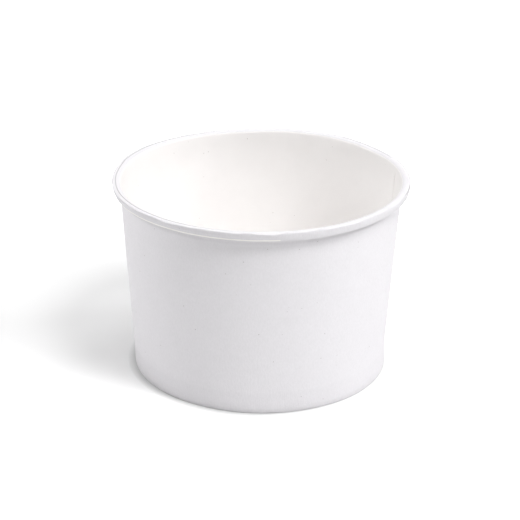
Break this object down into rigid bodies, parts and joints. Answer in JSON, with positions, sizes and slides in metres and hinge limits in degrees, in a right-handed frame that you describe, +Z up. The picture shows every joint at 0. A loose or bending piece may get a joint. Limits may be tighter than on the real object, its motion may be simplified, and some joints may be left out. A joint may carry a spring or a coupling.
{
  "type": "paper sundae cup",
  "caption": "Low white paper cup for a sundae or ice cream, with a rolled rim, an overlapped side seam and a recessed bottom disc held in a folded base.",
  "frame": {"origin": "centre of the base, on the plane that the folded foot rests on", "axes": "+Z up along the cup's axis towards the mouth; -Y faces the picture's camera; the side seam stands 18.4 degrees from +X towards +Y"},
  "size_m": [0.096, 0.096, 0.0636],
  "materials": {
    "wall_board": "matte uncoated white outside, thin satin plastic film inside",
    "bottom_board": "white, thin satin plastic film on top, matte underneath"
  },
  "bodies": {
    "root": {"sidewall": "wall_board", "bottom_disc": "bottom_board"}
  },
  "joints": []
}
